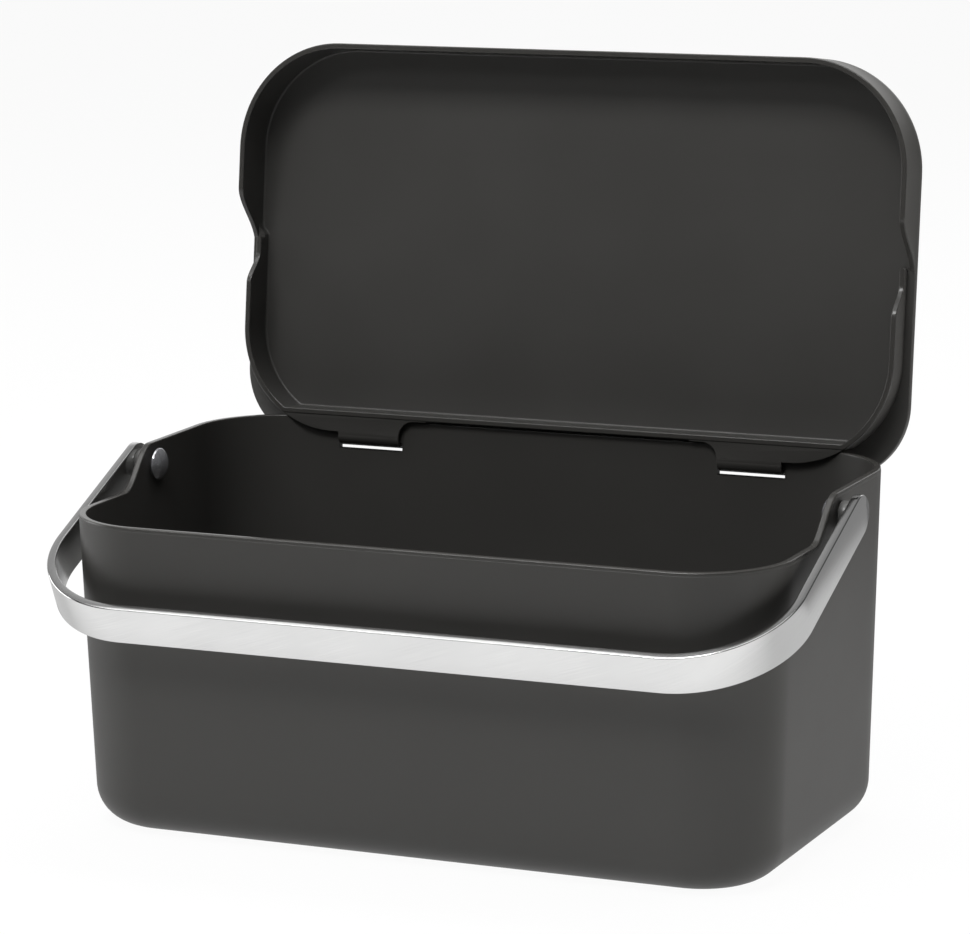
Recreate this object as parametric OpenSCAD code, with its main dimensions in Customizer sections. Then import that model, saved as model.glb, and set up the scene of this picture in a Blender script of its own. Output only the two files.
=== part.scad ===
// Compost caddy: an open-topped bin with a lift-up lid on two snap hinges
// and a steel strap handle. It is drawn as it stands open: the lid leans
// back on the rear rim and the handle lies forward on its stop.
// Origin: centre of the base. X to the right, Y to the back, Z up.

/* [Bin] */
// Width of the bin at its rear rim
body_w = 268; // [240:1:300]
// Depth of the bin at its rear rim
body_d = 149; // [135:1:170]
// Height of the low front rim
front_h = 112.4; // [104:0.2:116]
// Height of the high rear rim
back_h = 127; // [124:0.5:140]
// Outer corner radius at the rear rim, seen from above
corner_r = 33.5; // [28:0.5:38]
// Radius of the rounded edge around the base
base_fillet = 14.5; // [6:0.5:18]
// Thickness of the side walls
wall = 2.6; // [2:0.1:3.4]
// Thickness of the floor
floor_t = 3; // [2:0.1:5]
// Draft of the walls, in degrees
draft_deg = 2; // [0.5:0.1:3]
// Where the side rim's rise is halfway, from the centre
rise_y = -8.4; // [-16:0.2:-6]
// Length of the side rim's rise, front to back
rise_l = 21.2; // [18:0.2:26]
// Rounding of the rim's outer edge
rim_round = 1; // [0.6:0.1:1.4]

/* [Lid] */
// Width of the lid
lid_w = 264; // [258:0.2:267]
// How far the lid's front edge stands back from the bin's front
front_step = 0.5; // [0:0.1:2]
// How far the lid reaches past the bin's back
rear_reach = 2; // [0.5:0.1:4]
// Outer corner radius at the lid's front
lid_front_r = 40; // [34:0.5:44]
// Outer corner radius at the lid's rear
lid_rear_r = 27.5; // [20:0.5:34]
// Height of the lid's rim above the bin's rear rim
crown_h = 5.8; // [5:0.1:8]
// Rounding of the lid's top edge
crown_round = 3.5; // [1:0.1:4]
// Thickness of the lid's flat panel
panel_t = 2.4; // [1.8:0.1:3.2]
// Thickness of the front skirt
skirt_t = 2; // [1.6:0.1:2.6]
// Gap between the closed lid and the rim that it sits over
lid_gap = 0.5; // [0.4:0.05:1]
// Gap between the inner skirt and the bin's inside
skirt_gap = 2.2; // [1.6:0.1:4]
// Corner radius of the inner skirt at the rear
inner_r = 38; // [36:0.5:46]
// Thickness of the straight wall across the back of the inner skirt
cross_t = 2.2; // [1.6:0.1:2.6]
// How far the inner skirt's shallow front part hangs below the rim
stub_drop = 2.8; // [1.6:0.1:4]
// Where the inner skirt's drop is halfway, from the centre
drop_y = 11.2; // [8:0.1:16]
// Length of the inner skirt's drop, front to back
drop_l = 11.5; // [8:0.1:16]

/* [Lid hinge] */
// Height of the hinge axis below the rear rim
hinge_drop = 6.5; // [6.4:0.1:7.4]
// Thickness of the wall strip that the hooks turn on
strip_t = 1.3; // [1:0.05:1.5]
// Inner radius of the hinge hooks
hook_r = 2; // [1.9:0.05:2.2]
// Thickness of the hooks and of the hinge plate
hook_t = 1.6; // [1.3:0.05:1.8]
// How far the hooks turn up behind the wall strip
hook_wrap = 60; // [45:1:61]
// Middle of each hook, from the centre of the bin
hook_x = 76; // [66:0.5:82]
// Width of each slot in the rear wall
slot_w = 26; // [18:0.5:30]
// Gap on each side of a hook in its slot
hook_gap = 0.5; // [0.3:0.05:1]
// Gap between the strip's lower edge and the hook under it
strip_gap = 0.4; // [0.3:0.05:0.6]
// Open part of each slot below its hook
slot_open = 1.4; // [0.6:0.1:2]
// Gap between the hinge plate and the rear wall
plate_gap = 0.4; // [0.3:0.05:1]
// How far the hinge plate reaches into the bin's rounded rear corners
plate_reach = 5; // [1:0.5:5]
// Radius of the plate's hollow corner beside each hook
plate_hollow = 6; // [3:0.5:6]
// Length of the low lip beside each hollow corner
lip_l = 5; // [2:0.5:8]
// Height of the low lip behind the cross wall
lip_h = 0.5; // [0.3:0.1:1]
// How far the lid opens, in degrees
lid_open_deg = 97.5; // [92:0.5:99]
// Gap between the open lid's cross wall and the rear rim
open_gap = 0.35; // [0.3:0.05:0.6]

/* [Handle] */
// Distance of the handle's pivots behind the centre
pivot_y = 5; // [3:0.2:12]
// Depth of the handle's pivots below the rear rim
pivot_drop = 8.2; // [7.6:0.2:11]
// Width of the steel strap
strap_w = 14.6; // [10:0.2:15]
// Thickness of the steel strap
strap_t = 3.2; // [2:0.1:4]
// How far the lying bar's nearest edge stands forward of the bin's front
bar_gap = 4.5; // [2:0.1:24]
// Outer radius of the strap's two bends
bend_r = 40.5; // [20:0.5:50]
// Gap between the strap and the side walls
side_stand = 4.5; // [3:0.1:8]
// Slope of the handle on its stop, in degrees below level
handle_slope = 23.5; // [18:0.5:26]

/* [Pivots] */
// Radius of the pivot studs
stud_r = 3; // [2:0.1:3.6]
// Running clearance of the studs in the walls, bushes and nuts
stud_clear = 0.05; // [0.02:0.01:0.1]
// Outer radius of the spacer bushes
bush_r = 5; // [4.4:0.1:6]
// Radius of the domed cap nuts
nut_r = 5.8; // [5:0.1:6.4]
// Height of the domed cap nuts
nut_h = 3.4; // [2.8:0.1:4.2]
// Height of each cap nut's straight edge
nut_edge = 0.9; // [0.5:0.1:1.2]
// Gap between a turning piece and the drafted wall beside it
side_clear = 0.3; // [0.3:0.05:0.5]

/* [Hidden] */

// One facet count for hulls, one for true round surfaces.
hull_fn = 48;
round_fn = 64;
curve_steps = 12;
arc_steps = 12;
over = 1;
far = body_w;

draft = tan(draft_deg);
corner_x = body_w / 2 - corner_r;
corner_y = body_d / 2 - corner_r;
rise_y0 = rise_y - rise_l / 2;
rise_y1 = rise_y + rise_l / 2;

// How far the walls stand in at height z, and their faces at that height.
function draft_in(z) = draft * (back_h - z);
function wall_back(z) = body_d / 2 - draft_in(z) - wall;
function wall_side(z) = body_w / 2 - draft_in(z);

// Closed lid: heights of its parts.
ledge_z = back_h + lid_gap;
crown_z = ledge_z + crown_h;
skirt_z = front_h + lid_gap;
skirt_start = rise_y1 - stub_drop;
panel_z = crown_z - panel_t;
stub_z = ledge_z - stub_drop - lid_gap;
lid_front = body_d / 2 - front_step;
lid_rear = body_d / 2 + rear_reach;

// Hinge axis: in the middle of the wall strip.
hinge_z = back_h - hinge_drop;
hinge_y = wall_back(hinge_z) + strip_t / 2;
hook_out = hook_r + hook_t;
plate_z = hinge_z - hook_out;
plate_y = wall_back(plate_z) - plate_gap;
hook_w = slot_w - 2 * hook_gap;
slot_top = hinge_z - hook_r + strip_gap;
slot_z = plate_z - slot_open;
pocket_top = hinge_z + hook_out + strip_gap;

// Cross wall: opened, its rear face comes to lie just above the rim's edge.
rim_reach = body_d / 2 - hinge_y;
cross_back = hinge_y - (hinge_drop + open_gap) * sin(lid_open_deg) + rim_reach * cos(lid_open_deg);
cross_front = cross_back - cross_t;
inner_half = body_w / 2 - wall - skirt_gap;

// Handle.
pivot_z = back_h - pivot_drop;
strap_out = wall_side(pivot_z) + side_stand + strap_t;
strap_in = strap_out - strap_t;
bar_reach = pivot_y + body_d / 2 + bar_gap + strap_w / 2 * sin(handle_slope);
arm_l = strap_t + bar_reach / cos(handle_slope);
bush_in = wall_side(pivot_z + bush_r) + side_clear;
nut_face = wall_side(pivot_z - nut_r) - wall - side_clear;
nut_depth = nut_h - nut_edge;

// Smooth step from 0 to 1.
function ease(t) = t * t * (3 - 2 * t);
function rise(y0, z0, y1, z1) =
    [for (i = [0:curve_steps]) let (t = i / curve_steps) [y0 + (y1 - y0) * t, z0 + (z1 - z0) * ease(t)]];

// Extrudes a shape drawn in the Y-Z plane across the whole width.
module across(width) {
    translate([-width / 2, 0, 0])
        rotate([90, 0, 90])
            linear_extrude(height = width)
                children();
}

// One rounded corner post of the bin, stood in from the outside by inset.
module post(inset, bottom, top, top_round) {
    foot = corner_r - inset - draft_in(base_fillet);
    fillet = base_fillet - inset;
    head = corner_r - inset - draft_in(top);
    arc = [for (a = [-90:18:0]) [foot - fillet + fillet * cos(a), bottom + fillet + fillet * sin(a)]];
    crest = [for (a = [0:30:90]) [head - top_round + top_round * cos(a), top - top_round + top_round * sin(a)]];
    rotate_extrude($fn = hull_fn)
        polygon(concat([[0, bottom]], arc, crest, [[0, top]]));
}

module bin_block(inset, bottom, top, top_round) {
    hull()
        for (x = [-corner_x, corner_x], y = [-corner_y, corner_y])
            translate([x, y, 0])
                post(inset, bottom, top, top_round);
}

// Everything above the rim's side profile.
module above_rim() {
    across(2 * far)
        polygon(concat(
            [[-far, front_h]],
            rise(rise_y0, front_h, rise_y1, back_h),
            [[rise_y1, back_h + far], [-far, back_h + far]]));
}

// Slot through the rear wall, and the shallow pocket outside it that
// leaves a thin strip of wall for the hook to turn on.
module hinge_slot() {
    translate([-slot_w / 2, hinge_y - hook_out - 2 * wall, slot_z])
        cube([slot_w, hook_out + 5 * wall, slot_top - slot_z]);
    translate([-slot_w / 2, hinge_y + strip_t / 2, slot_z])
        cube([slot_w, 3 * wall, pocket_top - slot_z]);
}

module bin_shell() {
    color([0.27, 0.27, 0.26])
        difference() {
            bin_block(0, 0, back_h, rim_round);
            bin_block(wall, floor_t, back_h + over, 0);
            above_rim();
            for (side = [-1, 1]) {
                translate([side * hook_x, 0, 0])
                    hinge_slot();
                translate([side * (body_w / 2 - corner_r / 2), pivot_y, pivot_z])
                    rotate([0, side * 90, 0])
                        cylinder(h = corner_r, r = stud_r + stud_clear, $fn = round_fn);
            }
        }
}

// Turns the closed lid about its hinge axis to where it stands open.
module opened() {
    translate([0, hinge_y, hinge_z])
        rotate([-lid_open_deg, 0, 0])
            translate([0, -hinge_y, -hinge_z])
                children();
}

// Points of a quarter circle, from the angle start.
function quarter(x, y, r, start) =
    [for (i = [0:arc_steps]) let (a = start + 90 * i / arc_steps) [x + r * cos(a), y + r * sin(a)]];

// Outline of a plate seen from above, from front to rear, with its own
// corner radii at the front and at the rear.
module plan(half, front, rear, front_r, rear_r) {
    polygon(concat(
        quarter(half - rear_r, rear - rear_r, rear_r, 0),
        quarter(rear_r - half, rear - rear_r, rear_r, 90),
        quarter(front_r - half, front_r - front, front_r, 180),
        quarter(half - front_r, front_r - front, front_r, 270)));
}

module lid_outline(inset) {
    plan(lid_w / 2 - inset, lid_front - inset, lid_rear - inset, lid_front_r - inset, lid_rear_r - inset);
}

// A disc with a rounded upper edge, for the corners of the lid's crown.
module crown_disc(radius) {
    edge = [for (a = [0:18:90]) [radius - crown_round + crown_round * cos(a),
                                 crown_h - crown_round + crown_round * sin(a)]];
    rotate_extrude($fn = hull_fn)
        polygon(concat([[0, 0], [radius, 0]], edge, [[0, crown_h]]));
}

module crown() {
    translate([0, 0, ledge_z])
        hull()
            for (side = [-1, 1]) {
                translate([side * (lid_w / 2 - lid_front_r), -lid_front + lid_front_r, 0])
                    crown_disc(lid_front_r);
                translate([side * (lid_w / 2 - lid_rear_r), lid_rear - lid_rear_r, 0])
                    crown_disc(lid_rear_r);
            }
}

// Outline of the inner skirt, stood in by inset. Its rear is cut straight.
module inner_outline(inset, rear) {
    intersection() {
        plan(inner_half - inset, lid_front, plate_y - inset, inner_r - inset, inner_r - inset);
        translate([-far, skirt_start])
            square([2 * far, rear - skirt_start]);
    }
}

// The skirt's free edge: shallow beside the notch, then down to full depth.
module inner_skirt() {
    intersection() {
        translate([0, 0, plate_z])
            linear_extrude(height = ledge_z - plate_z)
                difference() {
                    inner_outline(0, cross_back);
                    inner_outline(skirt_t, cross_front);
                }
        across(2 * far)
            polygon(concat(
                [[-far, ledge_z + over], [-far, stub_z]],
                rise(drop_y - drop_l / 2, stub_z, drop_y + drop_l / 2, plate_z),
                [[far, plate_z], [far, ledge_z + over]]));
    }
}

// Front skirt: full depth at the front, rising to nothing at the notch.
module front_skirt() {
    difference() {
        translate([0, 0, skirt_z])
            linear_extrude(height = ledge_z - skirt_z)
                difference() {
                    lid_outline(0);
                    lid_outline(skirt_t);
                }
        across(2 * far)
            polygon(concat(
                rise(rise_y0, skirt_z, rise_y1, ledge_z),
                [[far, ledge_z], [far, 0], [rise_y0, 0]]));
    }
}

// Flat plate behind the cross wall, hollowed beside each hook.
module hinge_plate() {
    tab = hook_x - hook_w / 2;
    lip_x = tab - plate_hollow - lip_l;
    lip_y = cross_back + lip_h;
    translate([0, 0, plate_z])
        linear_extrude(height = hook_t)
            for (side = [-1, 1])
                mirror([side < 0 ? 1 : 0, 0])
                    difference() {
                        intersection() {
                            inner_outline(0, plate_y);
                            translate([lip_x, cross_front])
                                square([corner_x + plate_reach - lip_x, far]);
                        }
                        translate([0, lip_y])
                            square([tab - plate_hollow, far]);
                        translate([tab - plate_hollow, lip_y + plate_hollow])
                            circle(r = plate_hollow, $fn = round_fn);
                        translate([tab - plate_hollow, lip_y + plate_hollow])
                            square([plate_hollow, far]);
                    }
}

// A tab through the slot and a hook that turns up behind the wall strip.
module hook() {
    translate([-hook_w / 2, cross_front, plate_z])
        cube([hook_w, hinge_y - cross_front, hook_t]);
    translate([0, hinge_y, hinge_z])
        rotate([90, 0, 90])
            rotate([0, 0, -90])
                rotate_extrude(angle = 90 + hook_wrap, $fn = round_fn)
                    translate([hook_r, -hook_w / 2])
                        square([hook_t, hook_w]);
}

module lid_shell() {
    color([0.27, 0.27, 0.26])
        opened()
            union() {
                difference() {
                    crown();
                    translate([0, 0, ledge_z - over])
                        linear_extrude(height = panel_z - ledge_z + over)
                            intersection() {
                                lid_outline(skirt_t);
                                union() {
                                    inner_outline(skirt_t, cross_front);
                                    translate([-far, -far])
                                        square([2 * far, far + skirt_start]);
                                }
                            }
                }
                front_skirt();
                inner_skirt();
                hinge_plate();
                for (side = [-1, 1])
                    translate([side * hook_x, 0, 0])
                        hook();
            }
}

// Lays the handle's own frame on the pivots: its arms run along +Y there.
module handle_frame() {
    translate([0, pivot_y, pivot_z])
        rotate([180 + handle_slope, 0, 0])
            children();
}

// The handle seen square on, stood in by inset: a U with two round bends.
module strap_plan(inset) {
    bend_x = strap_out - bend_r;
    bend_y = arm_l - bend_r;
    translate([inset - strap_out, -inset])
        square([2 * (strap_out - inset), bend_y + inset]);
    translate([-bend_x, 0])
        square([2 * bend_x, arm_l - inset]);
    for (side = [-1, 1])
        translate([side * bend_x, bend_y])
            circle(r = bend_r - inset, $fn = round_fn);
}

module handle_strap() {
    color([0.84, 0.84, 0.83])
        handle_frame()
            union() {
                translate([0, 0, -strap_w / 2])
                    linear_extrude(height = strap_w)
                        difference() {
                            strap_plan(0);
                            strap_plan(strap_t);
                        }
                for (side = [-1, 1])
                    translate([side * (strap_out - strap_t / 2), 0, 0])
                        rotate([0, 90, 0])
                            cylinder(h = strap_t, r = strap_w / 2, center = true, $fn = round_fn);
            }
}

// Places a piece that is drawn along +Z from the bin's middle on one pivot.
module on_pivot(side) {
    translate([0, pivot_y, pivot_z])
        rotate([0, side * 90, 0])
            children();
}

module pivot_stud(side) {
    color([0.62, 0.62, 0.62])
        on_pivot(side)
            translate([0, 0, nut_face - nut_edge])
                cylinder(h = strap_in - nut_face + nut_edge, r = stud_r, $fn = round_fn);
}

module spacer_bush(side) {
    color([0.16, 0.16, 0.16])
        on_pivot(side)
            translate([0, 0, bush_in])
                difference() {
                    cylinder(h = strap_in - bush_in, r = bush_r, $fn = round_fn);
                    translate([0, 0, -over])
                        cylinder(h = strap_in - bush_in + 2 * over, r = stud_r + stud_clear, $fn = round_fn);
                }
}

// Domed nut: a low dome on a short straight edge, with a blind bore.
module cap_nut(side) {
    dome_r = (nut_r * nut_r + nut_depth * nut_depth) / (2 * nut_depth);
    color([0.75, 0.75, 0.76])
        on_pivot(side)
            difference() {
                rotate_extrude($fn = round_fn)
                    intersection() {
                        translate([0, nut_face - nut_edge - nut_depth + dome_r])
                            circle(r = dome_r, $fn = 2 * round_fn);
                        translate([0, nut_face - nut_h])
                            square([nut_r, nut_h]);
                    }
                translate([0, 0, nut_face - nut_edge - side_clear])
                    cylinder(h = nut_h, r = stud_r + stud_clear, $fn = round_fn);
            }
}

bin_shell();
lid_shell();
handle_strap();
pivot_stud(-1);  // pivot_stud_left
pivot_stud(1);  // pivot_stud_right
spacer_bush(-1);  // spacer_bush_left
spacer_bush(1);  // spacer_bush_right
cap_nut(-1);  // cap_nut_left
cap_nut(1);  // cap_nut_right
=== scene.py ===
import math

import bmesh
import bpy
from mathutils import Matrix, Vector


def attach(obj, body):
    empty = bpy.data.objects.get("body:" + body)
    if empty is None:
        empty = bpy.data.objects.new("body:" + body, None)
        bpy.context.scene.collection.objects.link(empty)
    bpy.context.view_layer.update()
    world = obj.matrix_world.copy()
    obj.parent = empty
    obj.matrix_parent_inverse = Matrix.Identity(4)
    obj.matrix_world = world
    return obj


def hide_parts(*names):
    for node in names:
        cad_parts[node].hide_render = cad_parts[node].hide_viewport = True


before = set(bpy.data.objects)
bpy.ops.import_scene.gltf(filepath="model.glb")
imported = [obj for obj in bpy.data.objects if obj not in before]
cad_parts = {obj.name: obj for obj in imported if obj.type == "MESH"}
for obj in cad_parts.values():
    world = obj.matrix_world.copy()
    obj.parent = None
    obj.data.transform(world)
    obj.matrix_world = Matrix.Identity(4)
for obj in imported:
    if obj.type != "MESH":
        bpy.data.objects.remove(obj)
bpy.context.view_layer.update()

mm = 0.001  # drawn in millimetres, as on the bench, and kept in metres


# shader and geometry maths

class Wire:
    def __init__(self, bench, socket):
        self.bench = bench
        self.socket = socket

    def other(self, name):  # another output of the same node
        return Wire(self.bench, self.socket.node.outputs[name])

    def work(self, operation, first, second=0.0):
        return self.bench.add("ShaderNodeMath", {"operation": operation}, {0: first, 1: second})

    def __add__(self, value):
        return self.work("ADD", self, value)

    def __sub__(self, value):
        return self.work("SUBTRACT", self, value)

    def __rsub__(self, value):
        return self.work("SUBTRACT", value, self)

    def __mul__(self, value):
        return self.work("MULTIPLY", self, value)

    def __truediv__(self, value):
        return self.work("DIVIDE", self, value)

    __radd__ = __add__

    def atMost(self, value):
        return self.work("MINIMUM", self, value)

    def atLeast(self, value):
        return self.work("MAXIMUM", self, value)

    def clamped(self):
        return self.atLeast(0).atMost(1)

    def done(self, operation):
        return self.work(operation, self)


class Bench:
    def __init__(self, tree):
        self.tree = tree

    def add(self, kind, settings=None, inputs=None, out=0):
        node = self.tree.nodes.new(kind)
        for name, value in (settings or {}).items():
            setattr(node, name, value)
        for name, value in (inputs or {}).items():
            if isinstance(value, Wire):
                self.tree.links.new(value.socket, node.inputs[name])
            else:
                node.inputs[name].default_value = value
        return Wire(self, node.outputs[out]) if node.outputs else node

    def attribute(self, name):
        return self.add("ShaderNodeAttribute", {"attribute_name": name}, None, "Fac")

    def between(self, first, second, factor):  # a colour between two
        return self.add("ShaderNodeMix", {"data_type": "RGBA"},
                        {"Factor": factor, "A": first, "B": second}, "Result")


def tone(red, green, blue):
    def linear(value):
        value /= 255
        return value / 12.92 if value <= 0.04045 else ((value + 0.055) / 1.055) ** 2.4
    return (linear(red), linear(green), linear(blue), 1)


def newMaterial(name):
    material = bpy.data.materials.new(name)
    material.use_nodes = True
    material.node_tree.nodes.clear()
    return material, Bench(material.node_tree)


def closeMaterial(bench, shader):
    bench.add("ShaderNodeOutputMaterial", None, {"Surface": shader})


# finishes

plasticLook = {
    "colour": (58, 57, 55),
    "paler": (65, 64, 62),
    "cloudScale": 26.0,
    "cloudShift": 3.1,  # sets the clouds' seed off from the grain's
    "cloudStart": 0.35,
    "cloudShare": 0.78,
    "grainScale": 2600.0,
    "grainShare": 0.5,
    "grainHeight": 0.000014,
    "grainStrength": 0.55,
    "roughness": 0.43,
    "roughnessSpread": 0.10,
    "roundPolish": 0.2,  # how much glossier the rounded edges are
    "specular": 0.5,
}
bushLook = {**plasticLook, "colour": (88, 88, 87), "paler": (98, 98, 96), "roughness": 0.26}


def makePlastic(name, look, seed):
    material, bench = newMaterial(name)
    place = bench.add("ShaderNodeTexCoord", None, None, "Object")
    grain = bench.add("ShaderNodeTexNoise", {"noise_dimensions": "4D"},
                      {"Vector": place, "W": seed, "Scale": look["grainScale"],
                       "Detail": 3.0, "Roughness": 0.6})
    cloud = bench.add("ShaderNodeTexNoise", {"noise_dimensions": "4D"},
                      {"Vector": place, "W": seed + look["cloudShift"],
                       "Scale": look["cloudScale"], "Detail": 2.0})
    mixed = (cloud - look["cloudStart"]) * look["cloudShare"] + (grain - 0.5) * look["grainShare"]
    colour = bench.between(tone(*look["colour"]), tone(*look["paler"]), mixed)
    rough = (cloud - 0.5) * look["roughnessSpread"] + (grain - 0.5) * look["roughnessSpread"]
    rough = rough + look["roughness"] - bench.attribute("rounded") * look["roundPolish"]
    bump = bench.add("ShaderNodeBump", None,
                     {"Height": grain, "Distance": look["grainHeight"],
                      "Strength": look["grainStrength"]})
    shader = bench.add("ShaderNodeBsdfPrincipled", None,
                       {"Base Color": colour, "Roughness": rough, "Normal": bump,
                        "Specular IOR Level": look["specular"]})
    closeMaterial(bench, shader)
    return material


steelLook = {
    "colour": (246, 246, 245),
    "darker": (196, 196, 197),
    "lineScale": 5200.0,
    "lineLength": 34.0,
    "lineShare": 0.5,
    "lineHeight": 0.000012,
    "lineStrength": 0.5,
    "lineRoughness": 0.2,
    "cloudScale": 38.0,
    "cloudShare": 0.25,
    "cloudRoughness": 0.08,
    "roughness": 0.20,
    "edgeStart": 0.92,  # the polished edge, as a share of the half width
    "edgeLength": 0.05,
    "edgeRoughness": 0.12,
}


def makeBrushedSteel(name, look):
    material, bench = newMaterial(name)
    along = bench.attribute("alongStrap") * look["lineLength"]
    across = bench.attribute("acrossStrap") * look["lineScale"]
    grainPlace = bench.add("ShaderNodeCombineXYZ", None, {"X": along, "Y": across})
    lines = bench.add("ShaderNodeTexNoise", None,
                      {"Vector": grainPlace, "Scale": 1.0, "Detail": 4.0, "Roughness": 0.7})
    place = bench.add("ShaderNodeTexCoord", None, None, "Object")
    cloud = bench.add("ShaderNodeTexNoise", None,
                      {"Vector": place, "Scale": look["cloudScale"], "Detail": 2.0})
    colour = bench.between(tone(*look["colour"]), tone(*look["darker"]),
                           lines * look["lineShare"] + cloud * look["cloudShare"])
    edge = ((bench.attribute("towardEdge") - look["edgeStart"]) / look["edgeLength"]).clamped()
    rough = (lines - 0.5) * look["lineRoughness"] + (cloud - 0.5) * look["cloudRoughness"]
    rough = rough + look["roughness"]
    rough = rough + edge * (look["edgeRoughness"] - rough)
    bump = bench.add("ShaderNodeBump", None,
                     {"Height": lines, "Distance": look["lineHeight"],
                      "Strength": look["lineStrength"]})
    shader = bench.add("ShaderNodeBsdfPrincipled", None,
                       {"Base Color": colour, "Metallic": 1.0, "Roughness": rough, "Normal": bump})
    closeMaterial(bench, shader)
    return material


studLook = {
    "colour": (196, 196, 195),
    "darkest": 0.9,  # share of the colour in the darkest specks
    "speckScale": 900.0,
    "speckHeight": 0.000006,
    "speckStrength": 0.4,
    "roughness": 0.3,
    "roughnessSpread": 0.1,
    "metallic": 1.0,
}
nutLook = {**studLook, "colour": (214, 215, 220), "roughness": 0.17, "metallic": 0.8}


def makeTurnedMetal(name, look, seed):
    material, bench = newMaterial(name)
    place = bench.add("ShaderNodeTexCoord", None, None, "Object")
    specks = bench.add("ShaderNodeTexNoise", {"noise_dimensions": "4D"},
                       {"Vector": place, "W": seed, "Scale": look["speckScale"], "Detail": 3.0})
    darker = [value * look["darkest"] for value in look["colour"]]
    colour = bench.between(tone(*look["colour"]), tone(*darker), specks)
    bump = bench.add("ShaderNodeBump", None,
                     {"Height": specks, "Distance": look["speckHeight"],
                      "Strength": look["speckStrength"]})
    rough = (specks - 0.5) * look["roughnessSpread"] + look["roughness"]
    shader = bench.add("ShaderNodeBsdfPrincipled", None,
                       {"Base Color": colour, "Metallic": look["metallic"],
                        "Roughness": rough, "Normal": bump})
    closeMaterial(bench, shader)
    return material


binPlastic = makePlastic("binPlastic", plasticLook, 1.0)
lidPlastic = makePlastic("lidPlastic", plasticLook, 7.0)
bushPlastic = makePlastic("bushPlastic", bushLook, 13.0)
strapSteel = makeBrushedSteel("strapSteel", steelLook)
studSteel = makeTurnedMetal("studSteel", studLook, 2.0)
nutChrome = makeTurnedMetal("nutChrome", nutLook, 5.0)
print("finishes made")


# mesh helpers

sharpAngle = math.radians(34)
bevelAngle = math.radians(40)
weld = 1e-7  # closer than this is one point

roundMarks = {
    "rimReach": 0.12,  # points this near the free edge's height count as rounded
    "sharpest": 0.7,  # a bend beyond this, in radians, is a crease and no round
    "fullRadius": 0.0006,  # metres: a round of this radius or less counts in full
}


def ease(share):
    share = min(max(share, 0.0), 1.0)
    return share * share * (3 - 2 * share)


def easeSlope(share):
    return 6 * share * (1 - share) if 0 < share < 1 else 0.0


def spread(first, last, count):
    return [first + (last - first) * i / count for i in range(count + 1)]


def arcPoints(cx, cy, radius, start, end, count):
    arc = []
    for a in spread(start, end, count):
        nx, ny = math.cos(math.radians(a)), math.sin(math.radians(a))
        arc.append((cx + radius * nx, cy + radius * ny, nx, ny))
    return arc


def quarterRound(radius, count):  # in and down, from the side to the top
    arc = arcPoints(0, 0, 1, 0, 90, count)
    return [(radius * (1 - nx), radius * (1 - ny)) for _, _, nx, ny in arc]


def joinRings(rings, capped=True):
    count = len(rings[0])
    points = [point for ring in rings for point in ring]
    faces = []
    for low in range(0, count * (len(rings) - 1), count):
        high = low + count
        for i in range(count):
            j = (i + 1) % count
            faces.append((low + i, low + j, high + j, high + i))
    if capped:
        faces.append(tuple(reversed(range(count))))
        faces.append(tuple((len(rings) - 1) * count + i for i in range(count)))
    return points, faces


def smooth(mesh, angle=sharpAngle):
    mesh.polygons.foreach_set("use_smooth", [True] * len(mesh.polygons))
    mesh.set_sharp_from_angle(angle=angle)
    mesh.update()


def makePiece(name, part, material):
    points, faces = part
    mesh = bpy.data.meshes.new(name)
    shape = bmesh.new()
    made = [shape.verts.new(Vector(point) * mm) for point in points]
    for face in faces:
        shape.faces.new([made[i] for i in face])
    bmesh.ops.remove_doubles(shape, verts=shape.verts, dist=weld)
    bmesh.ops.dissolve_degenerate(shape, edges=shape.edges, dist=weld)
    bmesh.ops.recalc_face_normals(shape, faces=shape.faces)
    shape.to_mesh(mesh)
    shape.free()
    piece = bpy.data.objects.new(name, mesh)
    bpy.context.scene.collection.objects.link(piece)
    mesh.materials.append(material)
    smooth(mesh)
    return piece


def settle(piece, smoothed=True):  # turns the modifiers' result into a plain mesh
    bpy.context.view_layer.update()
    graph = bpy.context.evaluated_depsgraph_get()
    mesh = bpy.data.meshes.new_from_object(piece.evaluated_get(graph))
    piece.modifiers.clear()
    materials = [slot.material for slot in piece.material_slots]
    piece.data = mesh
    if not mesh.materials:
        for material in materials:
            mesh.materials.append(material)
    if smoothed:
        smooth(mesh)
    return piece


def carve(piece, cutters, operation="DIFFERENCE"):
    for cutter in cutters:
        knife = piece.modifiers.new("knife", "BOOLEAN")
        knife.operation = operation
        knife.solver = "EXACT"
        knife.object = cutter
    settle(piece)
    for cutter in cutters:
        bpy.data.objects.remove(cutter)


def soften(piece, width, segments=3):
    bevel = piece.modifiers.new("edges", "BEVEL")
    bevel.width = width * mm
    bevel.segments = segments
    bevel.limit_method = "ANGLE"
    bevel.angle_limit = bevelAngle
    bevel.harden_normals = False
    return settle(piece)


def markRounds(piece, *edgeHeights):  # rounded edges wear smoother
    shape = bmesh.new()
    shape.from_mesh(piece.data)
    rounded = shape.verts.layers.float.new("rounded")
    for corner in shape.verts:
        _, y, z = corner.co / mm
        if min(abs(z - height(y)) for height in edgeHeights) < roundMarks["rimReach"]:
            corner[rounded] = 1.0
        for edge in corner.link_edges:
            if len(edge.link_faces) != 2:
                continue
            bend = edge.calc_face_angle_signed()
            area = sum(face.calc_area() for face in edge.link_faces) / 2
            across = max(area / max(edge.calc_length(), weld), weld)
            if 0 < bend < roundMarks["sharpest"]:
                marked = min(1.0, bend / across * roundMarks["fullRadius"])
                corner[rounded] = max(corner[rounded], marked)
    shape.to_mesh(piece.data)
    shape.free()


def block(x0, x1, y0, y1, z0, z1):
    low = [(x0, y0, z0), (x1, y0, z0), (x1, y1, z0), (x0, y1, z0)]
    return joinRings([low, [(x, y, z1) for x, y, z in low]])


def hangOn(piece, body, node):
    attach(piece, body)
    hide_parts(node)


# bin

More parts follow.
